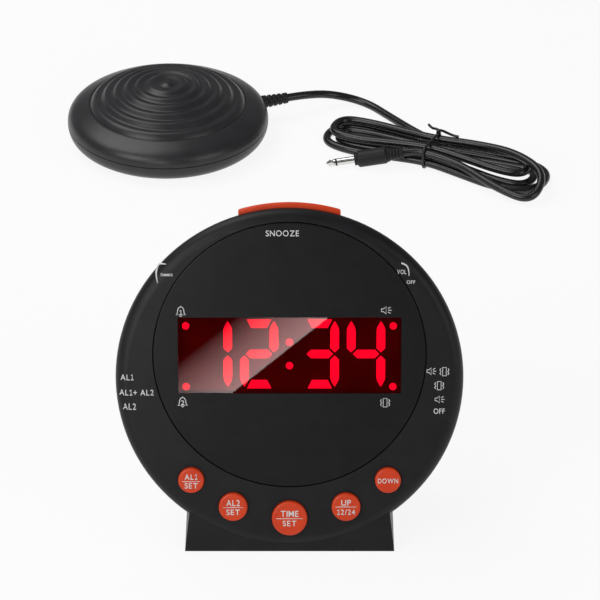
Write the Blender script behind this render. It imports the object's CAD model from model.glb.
import bpy
import bmesh
import math
from mathutils import Matrix, Vector
from mathutils.geometry import convex_hull_2d


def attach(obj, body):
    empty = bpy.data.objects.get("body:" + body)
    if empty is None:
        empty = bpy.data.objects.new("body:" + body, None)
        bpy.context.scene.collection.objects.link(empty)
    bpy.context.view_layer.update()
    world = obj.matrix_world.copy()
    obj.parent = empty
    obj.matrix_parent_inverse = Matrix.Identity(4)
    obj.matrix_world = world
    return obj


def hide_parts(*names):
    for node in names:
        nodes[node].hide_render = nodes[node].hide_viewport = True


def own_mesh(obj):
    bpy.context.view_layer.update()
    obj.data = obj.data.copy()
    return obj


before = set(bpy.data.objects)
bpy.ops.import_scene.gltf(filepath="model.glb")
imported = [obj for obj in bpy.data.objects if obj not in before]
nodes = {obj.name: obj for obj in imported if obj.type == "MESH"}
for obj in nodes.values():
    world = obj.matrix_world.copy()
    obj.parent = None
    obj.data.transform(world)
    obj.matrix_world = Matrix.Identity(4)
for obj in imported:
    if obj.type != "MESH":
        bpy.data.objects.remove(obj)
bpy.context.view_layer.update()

scene = bpy.context.scene
scene.view_settings.view_transform = "Standard"
mm = 0.001


# sRGB hex to linear, for every colour in the file
def linear(hexCode):
    channels = [int(hexCode[i:i + 2], 16) / 255 for i in (1, 3, 5)]
    return tuple(c / 12.92 if c <= 0.04045 else ((c + 0.055) / 1.055) ** 2.4 for c in channels) + (1.0,)


# adds a node, sets its sockets or properties, and links what feeds it
def addNode(tree, kind, settings=(), links=()):
    node = tree.nodes.new(kind)
    for name, value in dict(settings).items():
        if isinstance(name, int) or name in node.inputs:
            node.inputs[name].default_value = value
        else:
            setattr(node, name, value)
    for name, socket in dict(links).items():
        tree.links.new(socket, node.inputs[name])
    return node


# a material with nothing but its output
def emptyMaterial(name):
    material = bpy.data.materials.new(name)
    material.use_nodes = True
    tree = material.node_tree
    tree.nodes.clear()
    return material, tree, addNode(tree, "ShaderNodeOutputMaterial")


# a mesh made from a finished bmesh, which is freed
def meshFrom(name, bm):
    mesh = bpy.data.meshes.new(name)
    bm.to_mesh(mesh)
    bm.free()
    return mesh


# a new object in the scene, in one material
def addObject(name, data, material):
    data.materials.append(material)
    piece = bpy.data.objects.new(name, data)
    scene.collection.objects.link(piece)
    return piece


# round tubes along lines of points; a width at each point scales the tube there
def tubeCurve(name, kind, radius, dims, lines, widths=()):
    curve = bpy.data.curves.new(name, "CURVE")
    curve.dimensions = "3D"
    curve.bevel_depth = radius
    curve.bevel_resolution = dims["sides"]
    curve.resolution_u = dims["steps"]
    curve.use_fill_caps = True
    for points, closed in lines:
        spline = curve.splines.new(kind)
        spline.points.add(len(points) - 1)
        for point, place in zip(spline.points, points):
            point.co = (*place, 1.0)
        for point, width in zip(spline.points, widths):
            point.radius = width
        spline.use_cyclic_u = closed
        if kind == "NURBS":
            spline.order_u = 3
            spline.use_endpoint_u = not closed
    return curve


# a Principled material with its output; the surface detail is linked in by the caller
def startMaterial(name, settings):
    material, tree, output = emptyMaterial(name)
    shader = addNode(tree, "ShaderNodeBsdfPrincipled", settings)
    tree.links.new(shader.outputs["BSDF"], output.inputs["Surface"])
    coords = addNode(tree, "ShaderNodeTexCoord")
    return material, tree, shader, coords.outputs["Object"]


# where the two tones stand in the noise; spots, grain and its depth in millimetres; the finer noises' detail;
# the most that haze roughens
toneDims = {
    "low": 0.35,
    "high": 0.65,
    "mouldedSpot": 9.0,
    "metalSpot": 1.5,
    "metalGrain": 0.8,
    "metalDepth": 0.01,
    "grainDetail": 2.0,
    "hazeSpot": 14.0,
    "hazeMost": 0.012,
}


# a noise with spots of about the given size
def spotNoise(tree, place, sizeMm, detail):
    settings = {"Scale": 1 / (sizeMm * mm), "Detail": detail}
    return addNode(tree, "ShaderNodeTexNoise", settings, {"Vector": place})


# two tones through a noise, for colours that are never quite even
def mottle(tree, place, sizeMm, dark, light, detail=4.0):
    noise = spotNoise(tree, place, sizeMm, detail)
    ramp = addNode(tree, "ShaderNodeValToRGB", links={"Fac": noise.outputs["Fac"]})
    ramp.color_ramp.elements[0].position = toneDims["low"]
    ramp.color_ramp.elements[0].color = linear(dark)
    ramp.color_ramp.elements[1].position = toneDims["high"]
    ramp.color_ramp.elements[1].color = linear(light)
    return ramp.outputs["Color"]


# grain: a bump and a roughness that follow the same noise
def grain(tree, shader, place, sizeMm, depthMm, rough, strength=0.5):
    noise = spotNoise(tree, place, sizeMm, toneDims["grainDetail"])
    relief = {"Strength": strength, "Distance": depthMm * mm}
    bump = addNode(tree, "ShaderNodeBump", relief, {"Height": noise.outputs["Fac"]})
    tree.links.new(bump.outputs["Normal"], shader.inputs["Normal"])
    dullness = addNode(
        tree, "ShaderNodeMapRange", {"To Min": rough[0], "To Max": rough[1]}, {"Value": noise.outputs["Fac"]}
    )
    tree.links.new(dullness.outputs["Result"], shader.inputs["Roughness"])


# a moulded or printed surface: an uneven tone under a grain
def plainMoulded(name, dark, light, rough, grainMm, depthMm, specular=0.5):
    material, tree, shader, place = startMaterial(name, {"Specular IOR Level": specular})
    tone = mottle(tree, place, toneDims["mouldedSpot"], dark, light)
    tree.links.new(tone, shader.inputs["Base Color"])
    grain(tree, shader, place, grainMm, depthMm, rough)
    return material


# spark-eroded ABS: an even matte grain that scatters gloss, real grit 0.15 mm, drawn at 0.7 mm to show
housingAbs = plainMoulded("texturedBlackAbs", "#151517", "#1a1a1c", (0.38, 0.50), 0.7, 0.04, specular=0.22)
# the face panel is moulded in a finer tool, so it is a little smoother and deeper
panelAbs = plainMoulded("satinBlackAbs", "#101011", "#151516", (0.34, 0.43), 0.5, 0.02, specular=0.2)
# the pad's shells: satin ABS with a very fine grain, so the ripples carry soft highlights
padAbs = plainMoulded("satinPadAbs", "#212123", "#28282a", (0.30, 0.40), 0.6, 0.02, specular=0.45)
# orange ABS from a polished tool, worn slightly dull by fingers
orangeAbs = plainMoulded("satinOrangeAbs", "#d63c12", "#e04417", (0.34, 0.46), 1.2, 0.015, specular=0.35)
# acetal wheels and knobs, waxy black
controlAcetal = plainMoulded("blackAcetal", "#161617", "#1d1d1e", (0.30, 0.42), 0.8, 0.02)
# glass-filled nylon of the sockets, switches and potentiometers: dull, with fine fibres
fibreNylon = plainMoulded("glassFilledNylon", "#1d1d1f", "#272729", (0.45, 0.6), 0.8, 0.02)
# PVC over the cord: satin, with a faint waviness from the extruder
cordPvc = plainMoulded("extrudedPvc", "#0d0d0e", "#131314", (0.22, 0.30), 2.5, 0.03)
# PVC moulded on the cord's ends: a little duller than the cord
reliefPvc = plainMoulded("mouldedPvc", "#141415", "#1a1a1b", (0.42, 0.55), 0.9, 0.03, specular=0.35)
# the tie's wire sleeve: thin glossy PVC
tiePvc = plainMoulded("sleevePvc", "#0f0f10", "#161617", (0.28, 0.36), 1.0, 0.02)
# the sole: foamed rubber, dead matte
soleRubber = plainMoulded("foamedRubber", "#131313", "#1a1a1a", (0.7, 0.85), 0.9, 0.06)
# key mat and dome: milky silicone
milkySilicone = plainMoulded("mouldedSilicone", "#b9b9b4", "#c9c9c4", (0.5, 0.6), 1.2, 0.02)
# magnet: sintered ferrite, dark grey with a rough break
ferriteGrey = plainMoulded("sinteredFerrite", "#3a3a3d", "#4b4b4e", (0.55, 0.75), 0.7, 0.05)
# speaker cone: pressed paper with its fibres on show
conePaper = plainMoulded("pressedPaper", "#1d1d1d", "#2b2b2b", (0.75, 0.9), 0.6, 0.08)
# backup cells: shrunk plastic sleeve, plain and glossy
cellSleeve = plainMoulded("shrunkSleeve", "#2c3f6b", "#35497a", (0.25, 0.35), 4.0, 0.01)
# boards: green solder mask over uneven copper
solderMask = plainMoulded("solderMask", "#0f4a25", "#1c6a38", (0.25, 0.4), 1.5, 0.03)
# marks on the face: pad-printed white ink, slightly uneven where the pad lifted
printInk = plainMoulded("padPrintInk", "#d6d6d4", "#ededeb", (0.5, 0.65), 1.0, 0.01)


# plated and turned metals: fine tool lines stretched along one axis
def toolMarked(name, dark, light, rough, stretch):
    material, tree, shader, place = startMaterial(name, {"Metallic": 1.0})
    lines = addNode(tree, "ShaderNodeMapping", {"Scale": stretch}, {"Vector": place})
    along = lines.outputs["Vector"]
    tone = mottle(tree, along, toneDims["metalSpot"], dark, light, detail=3.0)
    tree.links.new(tone, shader.inputs["Base Color"])
    grain(tree, shader, along, toneDims["metalGrain"], toneDims["metalDepth"], rough, strength=0.3)
    return material


# zinc on pressed steel: pale grey, slightly cloudy
zincSteel = toolMarked("zincPlatedSteel", "#a9abac", "#c3c5c6", (0.28, 0.42), (1.0, 1.0, 4.0))
# nickel on the plug: bright, with sharp highlights
nickelPlate = toolMarked("nickelPlate", "#d2d1ce", "#e6e5e2", (0.10, 0.20), (6.0, 1.0, 1.0))
# brass weight: warm yellow, with fine turning lines
turnedBrass = toolMarked("turnedBrass", "#b08a3e", "#c9a356", (0.22, 0.36), (1.0, 4.0, 4.0))


# a face that glows by itself, a little unevenly
def glowing(name, rough, spotMm, dark, light, detail, strength):
    material, tree, shader, place = startMaterial(name, {"Roughness": rough, "Emission Strength": strength})
    tone = mottle(tree, place, spotMm, dark, light, detail)
    for socket in ("Base Color", "Emission Color"):
        tree.links.new(tone, shader.inputs[socket])
    return material


# lit segments: the diodes' red through a diffuser
litRed = glowing("litDiffuser", 0.5, 6.0, "#ff1460", "#ff1e68", 1.0, 1.15)
# the module's face: black filler that takes up some of the red around it
moduleFace = glowing("moduleFiller", 0.7, 12.0, "#2a0402", "#380603", 2.0, 0.55)


# clear red acrylic, cast and polished: sharp reflections, faint polishing haze
def clearAcrylic():
    material, tree, shader, place = startMaterial(
        "redAcrylic", {"Transmission Weight": 1.0, "IOR": 1.49, "Base Color": linear("#ee5f6c")}
    )
    noise = spotNoise(tree, place, toneDims["hazeSpot"], toneDims["grainDetail"])
    reach = {"To Min": 0.0, "To Max": toneDims["hazeMost"]}
    haze = addNode(tree, "ShaderNodeMapRange", reach, {"Value": noise.outputs["Fac"]})
    tree.links.new(haze.outputs["Result"], shader.inputs["Roughness"])
    return material


finishes = {
    housingAbs: ["front_housing", "rear_cover", "battery_door", "base_plate"],
    panelAbs: ["face_panel"],
    padAbs: ["pad_top", "pad_base"],
    orangeAbs: [
        "snooze_bar", "alarm_one_button", "alarm_two_button", "time_button", "up_button", "down_button"
    ],
    controlAcetal: ["dimmer_wheel", "volume_wheel", "alarm_select_knob", "alarm_mode_knob"],
    fibreNylon: [
        "dimmer_pot", "volume_pot", "alarm_select_switch", "alarm_mode_switch", "shaker_socket", "power_inlet"
    ],
    cordPvc: ["cord_lead", "cord_hank"],
    reliefPvc: ["pad_strain_relief", "plug_body", "plug_ring"],
    tiePvc: ["cord_tie"],
    soleRubber: ["sole"],
    milkySilicone: ["key_mat", "snooze_dome"],
    ferriteGrey: ["speaker_magnet"],
    conePaper: ["speaker_cone"],
    cellSleeve: ["battery_cells"],
    solderMask: ["display_board", "key_board", "snooze_board", "main_board"],
    zincSteel: [
        "speaker_frame", "battery_contacts", "housing_screws", "board_screws", "base_screws", "pad_screws",
        "motor", "motor_strap", "motor_shaft",
    ],
    nickelPlate: ["plug_sleeve", "plug_tip"],
    turnedBrass: ["eccentric_weight"],
    litRed: ["lit_segments"],
    moduleFace: ["led_module"],
    clearAcrylic(): ["display_window"],
}
for material, names in finishes.items():
    for name in names:
        nodes[name].data.materials.clear()
        nodes[name].data.materials.append(material)
print("finishes on", sum(len(names) for names in finishes.values()), "nodes")


# the clock's face: X right, Y up the face, Z out of it, zero at the ring's centre
faceDims = {
    "lean": math.radians(18.0),
    "ringRadius": 72 * mm,
    "edgeRadius": 5 * mm,
    "footDrop": 3.4 * mm,
    "footDepth": 66 * mm,
    "panelRise": 10.8 * mm,
    "buttonCircle": 58.9 * mm,
    "buttonSwings": (-43.9, -23.5, 0.0, 23.5, 43.9),
    "buttonProud": 2.0 * mm,
}
lean = faceDims["lean"]
toTable = faceDims["ringRadius"] + faceDims["footDrop"]
ringCentre = Vector((0, toTable * math.sin(lean) - faceDims["footDepth"] / 2, toTable * math.cos(lean)))
faceUp = Vector((0, math.sin(lean), math.cos(lean)))
faceOut = Vector((0, -math.cos(lean), math.sin(lean)))
facePlace = Matrix((
    (1, faceUp.x, faceOut.x, ringCentre.x),
    (0, faceUp.y, faceOut.y, ringCentre.y),
    (0, faceUp.z, faceOut.z, ringCentre.z),
    (0, 0, 0, 1),
))


# camera: the ring is as large and as far to the left as in the photograph
cameraDims = {
    "elevation": math.radians(32.0),
    "distance": 1.5,
    "imageSize": 600,
    "ringPixels": 349.0,
    "ringAt": (289.5, 381.0),
    "sensor": 36.0,
}


def addCamera(dims):
    pixelSize = 2 * faceDims["ringRadius"] / dims["ringPixels"]
    tilt = dims["elevation"]
    forward = Vector((0, math.cos(tilt), -math.sin(tilt)))
    up = Vector((0, math.sin(tilt), math.cos(tilt)))
    middle = dims["imageSize"] / 2
    across = (dims["ringAt"][0] - middle) * pixelSize
    rise = (middle - dims["ringAt"][1]) * pixelSize
    data = bpy.data.cameras.new("camera")
    data.sensor_width = dims["sensor"]
    data.lens = dims["sensor"] * dims["distance"] / (pixelSize * dims["imageSize"])
    camera = bpy.data.objects.new("camera", data)
    camera.location = ringCentre - forward * dims["distance"] - Vector((across, 0, 0)) - up * rise
    camera.rotation_euler = forward.to_track_quat("-Z", "Y").to_euler()
    scene.collection.objects.link(camera)
    scene.camera = camera
    return camera


camera = addCamera(cameraDims)
print("camera at", [round(x, 4) for x in camera.location])


# the shaker's cord: out of the strain relief, along the table, round the hank and into the plug
cordDims = {
    "diameter": 4 * mm,
    "padAt": Vector((-61.5, 323.0, 0)) * mm,
    "exitAngle": math.radians(20.0),
    "exitReach": 63 * mm,
    "exitHeight": 10 * mm,
    "firstRun": 10 * mm,
    "corners": ((21.0, 356.8, 5.5), (38.0, 354.0, 2.2), (50.0, 338.0, 2.4)),
    "lastRun": 13 * mm,
    "sides": 6,
    "steps": 10,
}
hankDims = {
    "at": Vector((69.9, 299.0, 0)) * mm,
    "turn": math.radians(-25.5),
    "loopsIn": 2,
    "firstWaist": 0.25,
    "step": 6.1 * mm,
    "layer": 5.0 * mm,
    "waist": 1.3 * mm,
    "bulge": 5.5 * mm,
    "bulgeSwell": 1.1,
    "bulgeGrowth": 0.25,
    "bulgeReach": 38.0 * mm,
    "reach": 50.0 * mm,
    "lift": 1.8 * mm,
    "entrySway": -2.2 * mm,
    "entrySwing": math.radians(-20.0),
    "endWidth": 0.92,
    "endNarrowing": 27.0,
    "longReach": 6.0 * mm,
    "longSway": -13.0 * mm,
    "longRise": (0.0, 1.5 * mm, 5.0 * mm, 3.0 * mm, -4.0 * mm, -2.5 * mm, 0.0),
}
plugDims = {
    "swing": math.radians(25.5),
    "pitch": math.radians(9.5),
    "tailRun": 11 * mm,
    "drop": 0.15 * mm,
}


def hankOffset(turns):
    if turns <= hankDims["loopsIn"]:
        return (hankDims["loopsIn"] - turns) * hankDims["step"]
    return max(turns - hankDims["loopsIn"] - 0.5, 0.0) * hankDims["step"]


def hankHeight(turns):
    climbed = min(max((turns - hankDims["loopsIn"]) * 2, 0.0), 1.0)
    return cordDims["diameter"] / 2 + climbed * hankDims["layer"]


def onHank(x, y, z):
    return Matrix.Rotation(hankDims["turn"], 3, "Z") @ Vector((x, y, z)) + hankDims["at"]


# half a turn, from one waist to just before the next; the last one reaches further and crosses the others
halfPoints = ("waist", "mid", "bulge", "endIn", "endOut", "bulgeBack", "midBack")


def hankHalf(half, isLast):
    end = 1 if half % 2 == 0 else -1
    further = hankDims["longReach"] if isLast else 0.0
    sway = hankDims["longSway"] if isLast else 0.0
    points = []
    for index, kind in enumerate(halfPoints):
        turns = hankDims["firstWaist"] + half / 2 + index / len(halfPoints) / 2
        offset = hankOffset(turns)
        height = hankHeight(turns) + (hankDims["longRise"][index] if isLast else 0.0)
        side = end if index <= halfPoints.index("endIn") else -end
        if kind == "waist":
            entry = hankDims["entrySway"] if half == 0 else 0.0
            points.append((0.0, side * (hankDims["waist"] + offset) + entry, height + hankDims["lift"]))
        elif kind in ("mid", "midBack"):
            width = (hankDims["waist"] + hankDims["bulge"]) / 2 + offset
            points.append((end * hankDims["bulgeReach"] / 2, side * width, height + hankDims["lift"] / 2))
        elif kind in ("bulge", "bulgeBack"):
            width = hankDims["bulge"] * hankDims["bulgeSwell"] + offset
            reach = hankDims["bulgeReach"] + offset * hankDims["bulgeGrowth"] + further / 2
            points.append((end * reach, side * width + sway / 2, height))
        else:
            width = (hankDims["bulge"] + offset) * (hankDims["endWidth"] - hankDims["endNarrowing"] * offset)
            points.append((end * (hankDims["reach"] + offset + further), side * width + sway, height))
    return [onHank(*point) for point in points]


def hankRoute():
    last = 2 * hankDims["loopsIn"] - hankDims["firstWaist"]
    halves = round((last - hankDims["firstWaist"]) * 2)
    points = []
    for half in range(halves):
        points += hankHalf(half, half == halves - 1)
    end = Vector((0.0, -(hankDims["waist"] + hankOffset(last)), hankHeight(last) + hankDims["lift"]))
    return points, end


def plugStart(end):
    level = math.cos(plugDims["pitch"])
    swing = plugDims["swing"]
    way = Vector((-math.cos(swing) * level, -math.sin(swing) * level, -math.sin(plugDims["pitch"])))
    halfWay = Vector((-math.cos(swing / 2), -math.sin(swing / 2), 0))
    start = end + halfWay * (plugDims["tailRun"] - cordDims["diameter"]) - Vector((0, 0, plugDims["drop"]))
    turned = Matrix.Rotation(hankDims["turn"], 3, "Z")
    return onHank(*start), turned @ way


def addCord(tie):
    exitWay = Vector((math.cos(cordDims["exitAngle"]), math.sin(cordDims["exitAngle"]), 0))
    start = cordDims["padAt"] + exitWay * cordDims["exitReach"] + Vector((0, 0, cordDims["exitHeight"]))
    loops, waistEnd = hankRoute()
    entryAngle = hankDims["turn"] + hankDims["entrySwing"]
    entryWay = Vector((math.cos(entryAngle), math.sin(entryAngle), 0))
    leadEnd = loops[0] - entryWay * cordDims["diameter"]
    tail, tailWay = plugStart(waistEnd)
    points = [start, start + exitWay * cordDims["firstRun"]]
    points += [Vector(corner) * mm for corner in cordDims["corners"]]
    points.append(leadEnd - entryWay * cordDims["lastRun"])
    points += loops + [onHank(*waistEnd), tail, tail + tailWay * cordDims["diameter"]]
    curve = tubeCurve("cord", "NURBS", cordDims["diameter"] / 2, cordDims, [(points, False)])
    cord = addObject("cord", curve, cordPvc)
    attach(cord, "shaker")
    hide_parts("cord_lead", "cord_hank")
    return len(points)


# wire tie: a loop drawn round the strands at the waist, its ends twisted together behind
tieDims = {
    "wire": 0.65 * mm,
    "gap": 0.4 * mm,
    "knotAcross": 7.0 * mm,
    "rimSteps": 16,
    "sides": 3,
    "steps": 8,
    "twistTurns": 2.0,
    "twistSteps": 10,
    "twistRise": 1.6 * mm,
    "shortEnd": ((-1.8, 0.6, 0.3), (-4.2, 1.4, -0.6), (-6.6, 2.6, 0.5)),
    "longEnd": ((1.6, 0.4, 0.2), (4.6, 1.2, -1.2), (8.0, 1.4, -2.0), (10.2, 1.4, -1.8)),
}


def waistStrands():
    strands = []
    for half in range(4 * hankDims["loopsIn"]):
        turns = hankDims["firstWaist"] + half / 2
        side = 1 if half % 2 == 0 else -1
        entry = hankDims["entrySway"] if half == 0 else 0.0
        across = side * (hankDims["waist"] + hankOffset(turns)) + entry
        strands.append((across, hankHeight(turns) + hankDims["lift"]))
    return strands


def tieLoop():
    reach = cordDims["diameter"] / 2 + tieDims["gap"] + tieDims["wire"]
    around = [2 * math.pi * step / tieDims["rimSteps"] for step in range(tieDims["rimSteps"])]
    rims = [
        Vector((y + reach * math.cos(angle), z + reach * math.sin(angle)))
        for y, z in waistStrands() for angle in around
    ]
    return [rims[index] for index in convex_hull_2d(rims)]


# how high the loop runs over a place across the hank
def loopHeight(across):
    loop = tieLoop()
    heights = []
    for a, b in zip(loop, loop[1:] + loop[:1]):
        if min(a.x, b.x) <= across <= max(a.x, b.x) and a.x != b.x:
            heights.append(a.y + (b.y - a.y) * (across - a.x) / (b.x - a.x))
    return max(heights)


def addTie():
    loop = [onHank(0.0, p.x, max(p.y, tieDims["wire"])) for p in tieLoop()]
    lines = [(loop, True)]
    top = loopHeight(tieDims["knotAcross"])
    for phase, end in ((0.0, tieDims["shortEnd"]), (math.pi, tieDims["longEnd"])):
        points = []
        for step in range(tieDims["twistSteps"] + 1):
            share = step / tieDims["twistSteps"]
            angle = phase + share * tieDims["twistTurns"] * 2 * math.pi
            rise = top + share * tieDims["twistRise"]
            swing = tieDims["wire"]
            points.append((swing * math.cos(angle), tieDims["knotAcross"] + swing * math.sin(angle), rise))
        foot = points[-1]
        points += [(x * mm, tieDims["knotAcross"] + y * mm, foot[2] + z * mm) for x, y, z in end]
        lines.append(([onHank(*point) for point in points], False))
    tie = addObject("wireTie", tubeCurve("wireTie", "NURBS", tieDims["wire"], tieDims, lines), tiePvc)
    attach(tie, "shaker")
    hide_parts("cord_tie")
    return tie


print("cord points", addCord(addTie()))


# printed marks: function words and plain signs in white ink, sizes in millimetres on the face
inkDims = {
    "lift": 0.03 * mm,
    "thickness": 0.03 * mm,
    "stroke": 0.36 * mm,
    "rule": 0.28 * mm,
    "bolder": 0.008,
    "halfLetter": 0.5,
    "weld": 0.001 * mm,
    "sides": 1,
    "steps": 12,
    "letterGap": 0.14,
    "wordGap": 0.32,
    "figureOne": (((-0.17, 0.52), (0.02, 0.69), (0.02, 0.04)), ((-0.17, 0.04), (0.2, 0.04))),
    "figureStroke": 0.13,
}
faceWords = (
    ("SNOOZE", -2.9, 62.5, 13.6, 2.5),
    ("DIMMER", -50.2, 45.0, 5.0, 1.1),
    ("VOL", 46.0, 46.3, 3.8, 1.8),
    ("OFF", 49.8, 42.0, 3.5, 1.5),
    ("AL1", -67.0, 1.6, 5.4, 2.7),
    ("AL1+ AL2", -63.2, -4.9, 14.2, 2.7),
    ("AL2", -66.2, -11.0, 5.5, 2.7),
    ("OFF", 61.9, -12.9, 4.6, 2.25),
    ("1", -44.65, 29.3, 1.2, 2.0),
    ("2", -44.15, -9.3, 1.4, 2.0),
)
speakerSign = (
    (((-1, 0.36), (-0.6, 0.36), (-0.1, 0.92), (-0.1, -0.92), (-0.6, -0.36), (-1, -0.36)), True),
    (((0.25, 0.45), (0.8, 0.8)), False),
    (((0.3, 0), (1, 0)), False),
    (((0.25, -0.45), (0.8, -0.8)), False),
)
vibrateSign = (
    (((-0.4, 1), (0.4, 1), (0.4, -1), (-0.4, -1)), True),
    (((-0.74, 0.8), (-0.98, 0.4), (-0.72, 0), (-0.98, -0.4), (-0.74, -0.8)), False),
    (((0.74, 0.8), (0.98, 0.4), (0.72, 0), (0.98, -0.4), (0.74, -0.8)), False),
)
bellSign = (
    (
        (
            (-1, -0.68), (-0.72, -0.4), (-0.64, 0.25), (-0.4, 0.66), (0, 0.82), (0.4, 0.66), (0.64, 0.25),
            (0.72, -0.4), (1, -0.68),
        ),
        True,
    ),
    (((-0.28, -0.8), (0, -1), (0.28, -0.8)), False),
    (((0, 0.82), (0, 1)), False),
)
faceSigns = (
    (speakerSign, 58.6, 4.2, 4.2, 3.5),
    (vibrateSign, 63.9, 4.0, 4.2, 3.9),
    (vibrateSign, 61.8, -2.0, 4.2, 3.9),
    (speakerSign, 62.1, -7.9, 4.3, 3.5),
    (bellSign, -44.65, 29.7, 4.3, 4.9),
    (bellSign, -44.15, -8.9, 4.3, 4.9),
    (speakerSign, 39.9, 30.1, 4.6, 3.7),
    (vibrateSign, 39.5, -9.3, 4.3, 4.0),
)
# arcs beside the two wheels, each point with its width as a share of the stroke
dialArcs = (
    ((-50.5, 49.2, 0.8), (-53.4, 49.2, 1.5), (-54.6, 46.6, 2.0), (-54.7, 44.2, 1.8), (-54.0, 41.6, 0.7)),
    ((45.8, 50.0, 1.9), (47.8, 49.4, 2.0), (49.0, 47.2, 1.4), (49.0, 44.6, 0.8)),
)
buttonWords = {
    "alarm_one_button": ("alarm_one_key", (("AL1", 1.75, 5.4, 2.6), ("SET", -2.1, 5.4, 2.4)), -0.3, 7.6),
    "alarm_two_button": ("alarm_two_key", (("AL2", 2.0, 5.6, 2.6), ("SET", -2.0, 5.6, 2.4)), 0.0, 8.2),
    "time_button": ("time_key", (("TIME", 2.2, 7.4, 2.6), ("SET", -2.0, 5.7, 2.4)), 0.1, 11.0),
    "up_button": ("up_key", (("UP", 2.1, 4.0, 2.5), ("12/24", -1.9, 7.4, 2.5)), 0.3, 8.8),
    "down_button": ("down_key", (("DOWN", 0.0, 8.4, 2.1),), None, 0.0),
}


# a curve as a mesh, with the curve gone
def meshFromCurve(curve):
    holder = bpy.data.objects.new("inkCurve", curve)
    scene.collection.objects.link(holder)
    mesh = bpy.data.meshes.new_from_object(holder)
    bpy.data.objects.remove(holder)
    bpy.data.curves.remove(curve)
    return mesh


# one letter at the font's own size; the figure one gets a flag and a foot, so that it isn't read as a letter
def letterMesh(letter):
    if letter == "1":
        lines = [(points, False) for points in inkDims["figureOne"]]
        mesh = strokeMesh(lines, inkDims["figureStroke"])
        mesh.transform(Matrix.Diagonal((1, 1, 1 / inkDims["thickness"], 1)))
        return mesh
    curve = bpy.data.curves.new("inkLetter", "FONT")
    curve.body = letter
    curve.extrude = inkDims["halfLetter"]
    curve.offset = inkDims["bolder"]
    return meshFromCurve(curve)


# least and most of the points along one axis
def spread(vertices, axis):
    along = [v.co[axis] for v in vertices]
    return min(along), max(along)


# a word set letter by letter, then scaled to the width and height that it has on the face
def wordMesh(text, width, height):
    bm = bmesh.new()
    reached = 0.0
    for letter in text:
        if letter == " ":
            reached += inkDims["wordGap"]
            continue
        mesh = letterMesh(letter)
        low, high = spread(mesh.vertices, 0)
        mesh.transform(Matrix.Translation((reached - low, 0, 0)))
        bm.from_mesh(mesh)
        bpy.data.meshes.remove(mesh)
        reached += high - low + inkDims["letterGap"]
    left, right = spread(bm.verts, 0)
    low, high = spread(bm.verts, 1)
    middle = Vector(((left + right) / 2, (low + high) / 2, 0))
    stretch = (width / (right - left), height / (high - low), inkDims["thickness"])
    fitted = Matrix.Diagonal((*stretch, 1)) @ Matrix.Translation(-middle)
    bmesh.ops.transform(bm, matrix=fitted, verts=bm.verts)
    return meshFrom("inkWord", bm)


# strokes flattened to the ink's thickness: of one width, or smooth with a width at each point
def strokeMesh(lines, stroke, widths=()):
    flat = [([(x, y, 0) for x, y in points], closed) for points, closed in lines]
    kind = "NURBS" if widths else "POLY"
    mesh = meshFromCurve(tubeCurve("inkStroke", kind, stroke / 2, inkDims, flat, widths))
    mesh.transform(Matrix.Diagonal((1, 1, inkDims["thickness"] / stroke, 1)))
    return mesh


def signMesh(sign, width, height):
    half = Vector((width - inkDims["stroke"], height - inkDims["stroke"])) / 2
    lines = [([(x * half.x, y * half.y) for x, y in points], closed) for points, closed in sign]
    return strokeMesh(lines, inkDims["stroke"])


# how far the ring's rounded edge falls away from the front plane
def edgeDrop(radius):
    past = radius - (faceDims["ringRadius"] - faceDims["edgeRadius"])
    if past <= 0:
        return 0.0
    return faceDims["edgeRadius"] - math.sqrt(max(faceDims["edgeRadius"] ** 2 - past ** 2, 0.0))


# gathers printed meshes into one piece that lies on the face
def addInk(name, meshes, body, height):
    bm = bmesh.new()
    for mesh in meshes:
        bm.from_mesh(mesh)
        bpy.data.meshes.remove(mesh)
    bmesh.ops.remove_doubles(bm, verts=bm.verts, dist=inkDims["weld"])
    for vert in bm.verts:
        vert.co.z += height + inkDims["lift"] - edgeDrop(math.hypot(vert.co.x, vert.co.y))
    bmesh.ops.recalc_face_normals(bm, faces=bm.faces)
    bmesh.ops.transform(bm, matrix=facePlace, verts=bm.verts)
    piece = addObject(name, meshFrom(name, bm), printInk)
    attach(piece, body)


def placed(mesh, u, v):
    mesh.transform(Matrix.Translation((u, v, 0)))
    return mesh


# the buttons' middles on the face
def buttonPlaces():
    places = {}
    for button, swing in zip(buttonWords, faceDims["buttonSwings"]):
        angle = math.radians(swing)
        radius = faceDims["buttonCircle"]
        places[button] = (radius * math.sin(angle), -radius * math.cos(angle))
    return places


def addMarks():
    meshes = [placed(wordMesh(text, w * mm, h * mm), u * mm, v * mm) for text, u, v, w, h in faceWords]
    meshes += [placed(signMesh(sign, w * mm, h * mm), u * mm, v * mm) for sign, u, v, w, h in faceSigns]
    for arc in dialArcs:
        points = [(u * mm, v * mm) for u, v, width in arc]
        meshes.append(strokeMesh([(points, False)], inkDims["stroke"], [width for u, v, width in arc]))
    addInk("facePrint", meshes, "clock", 0.0)
    places = buttonPlaces()
    for button, (body, words, ruleRise, ruleWidth) in buttonWords.items():
        u, v = places[button]
        meshes = [placed(wordMesh(text, w * mm, h * mm), u, v + rise * mm) for text, rise, w, h in words]
        if ruleRise is not None:
            half = ruleWidth / 2 * mm
            rule = strokeMesh([([(-half, 0), (half, 0)], False)], inkDims["rule"])
            meshes.append(placed(rule, u, v + ruleRise * mm))
        addInk(button + "Print", meshes, body, faceDims["buttonProud"])
    return len(buttonWords) + 1


print("prints", addMarks())


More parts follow.
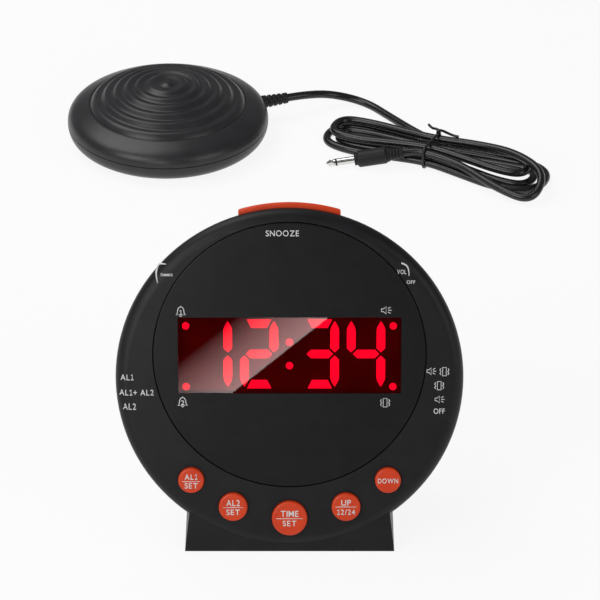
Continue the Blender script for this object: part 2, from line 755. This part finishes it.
# silicone under the buttons and the bar: a sheet, and domes that flatten as they are pressed
domeDims = {
    "baseRadius": 3.6 * mm,
    "topRadius": 2.4 * mm,
    "segments": 32,
    "sheetTop": -9.0 * mm,
    "cutSlack": 0.002 * mm,
    "weld": 0.001 * mm,
    "keyHeight": 2.2 * mm,
    "keyKeep": 1.0 / 2.2,
    "barFoot": Vector((0, 53.248, -18.0)) * mm,
    "barHeight": 4.0 * mm,
    "barKeep": 2.2 / 4.0,
}


def addSilicone(name, bm, node):
    bmesh.ops.recalc_face_normals(bm, faces=bm.faces)
    piece = addObject(name, meshFrom(name, bm), milkySilicone)
    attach(piece, "clock")
    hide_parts(node)
    return piece


# the sheet is the moulding cut off level with its top, each cut closed
def addSheet():
    bm = bmesh.new()
    bm.from_mesh(nodes["key_mat"].data)
    bmesh.ops.transform(bm, matrix=nodes["key_mat"].matrix_world, verts=bm.verts)
    level = facePlace @ Vector((0, 0, domeDims["sheetTop"]))
    parts = bm.verts[:] + bm.edges[:] + bm.faces[:]
    bmesh.ops.bisect_plane(
        bm, geom=parts, dist=domeDims["cutSlack"], plane_co=level, plane_no=faceOut, clear_outer=True
    )
    bmesh.ops.remove_doubles(bm, verts=bm.verts, dist=domeDims["weld"])
    openEdges = [edge for edge in bm.edges if len(edge.link_faces) == 1]
    bmesh.ops.holes_fill(bm, edges=openEdges, sides=0)
    addSilicone("keySheet", bm, "key_mat")


def addDome(name, node, foot, way, height):
    bm = bmesh.new()
    bmesh.ops.create_cone(
        bm, cap_ends=True, segments=domeDims["segments"], radius1=domeDims["baseRadius"],
        radius2=domeDims["topRadius"], depth=height,
    )
    stand = way.to_track_quat("Z", "Y").to_matrix().to_4x4()
    place = Matrix.Translation(foot) @ stand @ Matrix.Translation((0, 0, height / 2))
    bmesh.ops.transform(bm, matrix=place, verts=bm.verts)
    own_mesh(addSilicone(name, bm, node))


def addDomes():
    addSheet()
    for button, (u, v) in buttonPlaces().items():
        foot = facePlace @ Vector((u, v, domeDims["sheetTop"]))
        addDome(button + "Dome", "key_mat", foot, faceOut, domeDims["keyHeight"])
    foot = facePlace @ domeDims["barFoot"]
    height = domeDims["barHeight"]
    addDome("barDome", "snooze_dome", foot, faceUp, height)


addDomes()
print("domes set")


# table: a pale sweep, white to the eye, to gloss and through glass, with the object's own soft shadow
tableDims = {"halfSide": 4.0, "paint": "#f4f4f4", "whiteShare": 0.89}


def addTable():
    bm = bmesh.new()
    bmesh.ops.create_grid(bm, x_segments=1, y_segments=1, size=tableDims["halfSide"])
    mesh = meshFrom("table", bm)
    material, tree, output = emptyMaterial("paleTable")
    paint = addNode(tree, "ShaderNodeBsdfDiffuse", {"Color": linear(tableDims["paint"])})
    white = addNode(tree, "ShaderNodeEmission", {"Color": (1, 1, 1, 1), "Strength": 1.0})
    path = addNode(tree, "ShaderNodeLightPath")
    seen = addNode(
        tree, "ShaderNodeMath", {"operation": "MAXIMUM"},
        {0: path.outputs["Is Camera Ray"], 1: path.outputs["Is Glossy Ray"]},
    )
    through = addNode(
        tree, "ShaderNodeMath", {"operation": "MAXIMUM"},
        {0: seen.outputs[0], 1: path.outputs["Is Transmission Ray"]},
    )
    share = addNode(
        tree, "ShaderNodeMath", {"operation": "MULTIPLY", 1: tableDims["whiteShare"]}, {0: through.outputs[0]}
    )
    mix = addNode(
        tree, "ShaderNodeMixShader", links={"Fac": share.outputs[0], 1: paint.outputs[0], 2: white.outputs[0]}
    )
    tree.links.new(mix.outputs[0], output.inputs["Surface"])
    table = addObject("table", mesh, material)


addTable()


# lamps: a soft key from the left, a small one close by that gives only gloss, fading across the face, a weak
# fill from the right and a top light from behind
lampDims = {
    "key": {"at": (-0.95, -0.75, 0.95), "aim": (0, 0.1, 0.05), "size": 0.9, "power": 9.4},
    "near": {
        "at": (-0.16, -0.30, 0.18), "aim": (-0.05, 0.0, 0.08), "size": 0.16, "power": 0.35, "gloss": True,
    },
    "fill": {"at": (1.1, -0.8, 0.7), "aim": (0, 0.1, 0.05), "size": 0.9, "power": 4.6},
    "top": {"at": (-0.55, 0.55, 1.15), "aim": (0, 0.25, 0), "size": 0.9, "power": 7.5},
}


skyDims = {"colour": "#d8d9db", "strength": 0.3}


def addLamps():
    for name, dims in lampDims.items():
        data = bpy.data.lights.new(name, "AREA")
        data.energy = dims["power"]
        data.size = dims["size"]
        lamp = bpy.data.objects.new(name, data)
        lamp.location = dims["at"]
        lamp.rotation_euler = (Vector(dims["aim"]) - Vector(dims["at"])).to_track_quat("-Z", "Y").to_euler()
        lamp.visible_camera = False
        lamp.visible_diffuse = not dims.get("gloss", False)
        scene.collection.objects.link(lamp)
    world = bpy.data.worlds.new("studio")
    world.use_nodes = True
    sky = world.node_tree.nodes["Background"]
    sky.inputs["Color"].default_value = linear(skyDims["colour"])
    sky.inputs["Strength"].default_value = skyDims["strength"]
    scene.world = world


# a bright card in front, seen only as the glare on the window: a slanting edge, fading to the left
# a dark flag behind it keeps the rest of the window clear
cardDims = {
    "colour": "#f6f2ee",
    "away": 0.6,
    "windowRecess": 0.4 * mm,
    "edgeTop": (16.1 * mm, 27.0 * mm),
    "edgeFoot": (-23.7 * mm, -5.2 * mm),
    "overrun": 0.5,
    "fade": 38 * mm,
    "strength": 5.0,
    "flagAway": 0.62,
    "flagSize": (0.16, 0.10),
}


# where a point of the window sends the camera's line of sight, on a plane parallel to the face
def mirrored(point, away):
    seen = facePlace.inverted() @ camera.location
    behind = Vector((seen.x, seen.y, -seen.z))
    spot = Vector((point[0], point[1], -cardDims["windowRecess"]))
    share = (away - behind.z) / (spot.z - behind.z)
    return facePlace @ (behind + (spot - behind) * share)


# a card that only gloss and glass see, its glow given at each corner
def addCard(name, corners, glows, away):
    bm = bmesh.new()
    layer = bm.loops.layers.float_color.new("glow")
    face = bm.faces.new([bm.verts.new(mirrored(corner, away)) for corner in corners])
    for loop, share in zip(face.loops, glows):
        loop[layer] = (share, share, share, 1)
    mesh = meshFrom(name, bm)
    material, tree, output = emptyMaterial(name)
    shade = addNode(tree, "ShaderNodeAttribute", {"attribute_name": "glow"})
    colour = {"Color": linear(cardDims["colour"])}
    light = addNode(tree, "ShaderNodeEmission", colour, {"Strength": shade.outputs["Fac"]})
    tree.links.new(light.outputs[0], output.inputs["Surface"])
    card = addObject(name, mesh, material)
    card.visible_camera = False
    card.visible_diffuse = False
    card.visible_shadow = False


def addGlare():
    top = Vector(cardDims["edgeTop"])
    foot = Vector(cardDims["edgeFoot"])
    over = (top - foot) * cardDims["overrun"]
    left = Vector((-cardDims["fade"], 0))
    corners = [top + over, top + over + left, foot - over + left, foot - over]
    glow = cardDims["strength"]
    addCard("glareCard", corners, (glow, 0.0, 0.0, glow), cardDims["away"])
    halfWide, halfHigh = (side / 2 for side in cardDims["flagSize"])
    rise = faceDims["panelRise"]
    flag = [Vector((x, rise + y)) for x, y in (
        (halfWide, halfHigh), (-halfWide, halfHigh), (-halfWide, -halfHigh), (halfWide, -halfHigh)
    )]
    addCard("darkFlag", flag, (0.0, 0.0, 0.0, 0.0), cardDims["flagAway"])


addLamps()
addGlare()
print("stage and lamps set")
